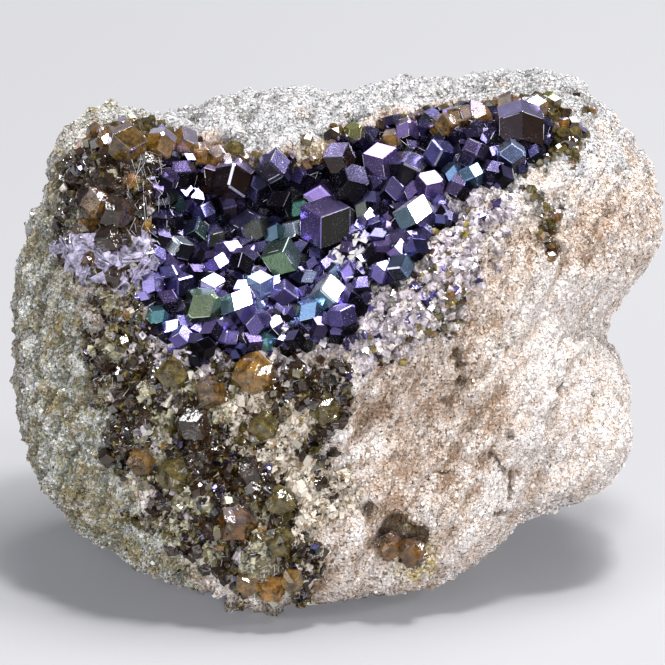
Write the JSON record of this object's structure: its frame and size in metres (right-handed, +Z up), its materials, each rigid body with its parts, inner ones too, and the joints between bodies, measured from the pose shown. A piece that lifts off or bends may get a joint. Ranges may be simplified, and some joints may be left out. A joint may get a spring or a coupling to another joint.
{
  "type": "andradite garnet specimen",
  "caption": "Hand-sized block of pale skarn rock with a shallow hollow in its face lined by a crust of rhombic dodecahedral garnet crystals.",
  "frame": {"origin": "on the flat patch under the stone that it rests on, near the middle of its plan", "axes": "+Z up, +X to the right along the stone's longest side, -Y towards the face with the hollow"},
  "size_m": [0.0463, 0.0351, 0.0339],
  "materials": {
    "skarn": "sugary broken rock, matt with small sparkles",
    "rainbow_garnet": "glossy crystal faces with a violet to green sheen",
    "brown_garnet": "glassy broken and grown garnet",
    "honey_garnet": "clear honey-coloured garnet"
  },
  "bodies": {
    "root": {"host_rock": "skarn", "rainbow_garnet_crust": "rainbow_garnet", "wall_garnets": "brown_garnet", "flank_garnets": "brown_garnet", "foot_garnets": "honey_garnet", "pocket_garnets": "brown_garnet"}
  },
  "joints": []
}
